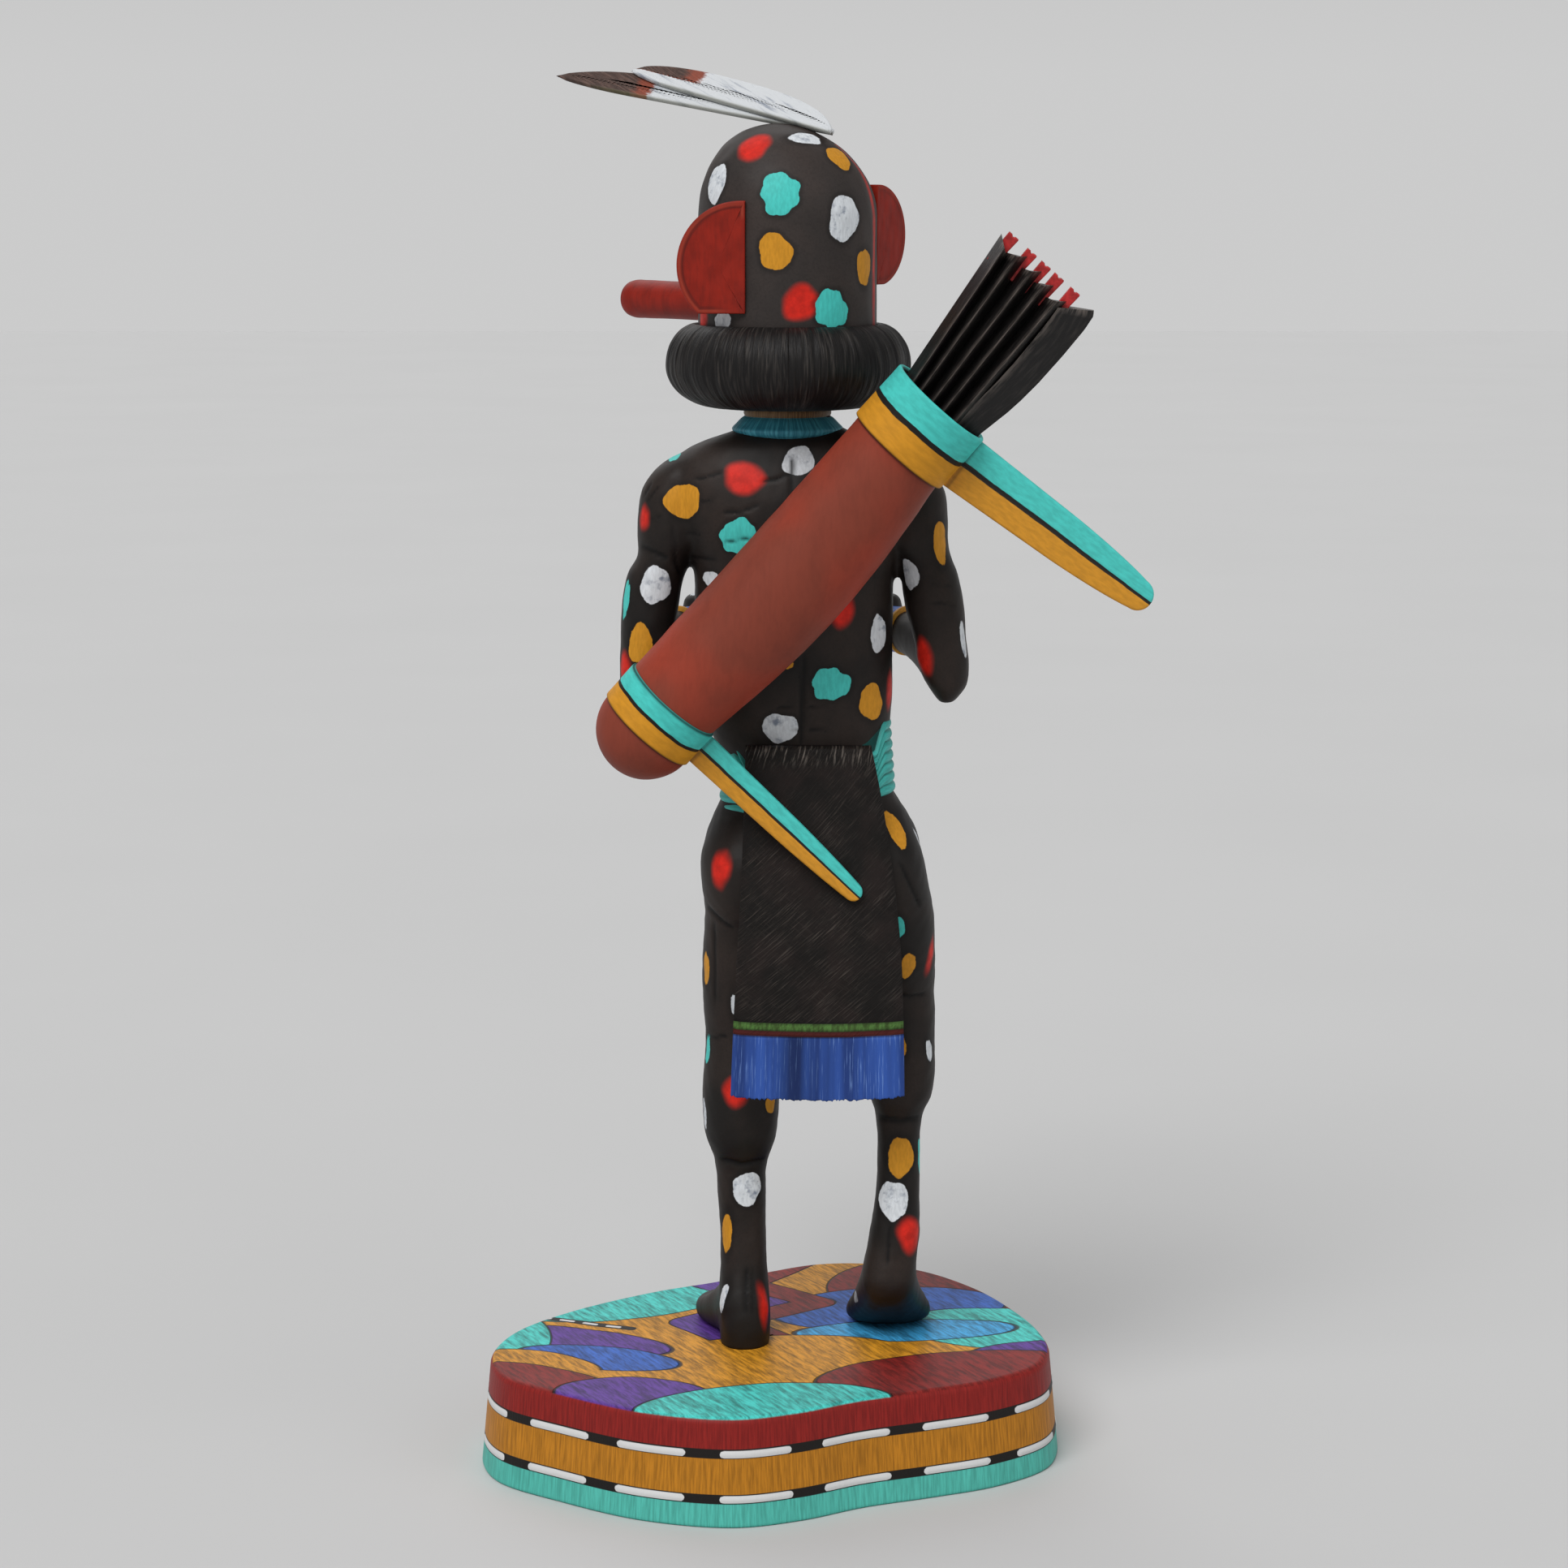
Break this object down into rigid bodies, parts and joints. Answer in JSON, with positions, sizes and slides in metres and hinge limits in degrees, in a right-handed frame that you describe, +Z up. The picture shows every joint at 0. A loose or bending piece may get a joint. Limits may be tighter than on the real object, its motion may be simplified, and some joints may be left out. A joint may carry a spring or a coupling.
{
  "type": "kachina doll",
  "caption": "Carved wooden kachina doll with round head, hair ruff, ears, tube snout and feathers, a quiver across its back and an apron, standing on a thick kidney-shaped base.",
  "frame": {"origin": "middle of the base on its underside, at the level it stands on", "axes": "+Z up, the body faces -Y, the figure's left is +X"},
  "size_m": [0.2291, 0.1962, 0.4812],
  "materials": {
    "base": "painted, satin",
    "figure": "painted, satin",
    "ear_left": "painted, satin",
    "ear_right": "painted, satin",
    "snout": "painted, satin",
    "feather_long": "painted, matt",
    "feather_short": "painted, matt",
    "quiver": "painted, satin",
    "arrow_bundle": "painted, satin",
    "quiver_tie_upper": "painted, satin",
    "quiver_tie_lower": "painted, satin"
  },
  "bodies": {
    "root": {"base": "base", "figure": "figure", "ear_left": "ear_left", "ear_right": "ear_right", "snout": "snout", "feather_long": "feather_long", "feather_short": "feather_short", "quiver": "quiver", "arrow_bundle": "arrow_bundle", "quiver_tie_upper": "quiver_tie_upper", "quiver_tie_lower": "quiver_tie_lower"}
  },
  "joints": []
}
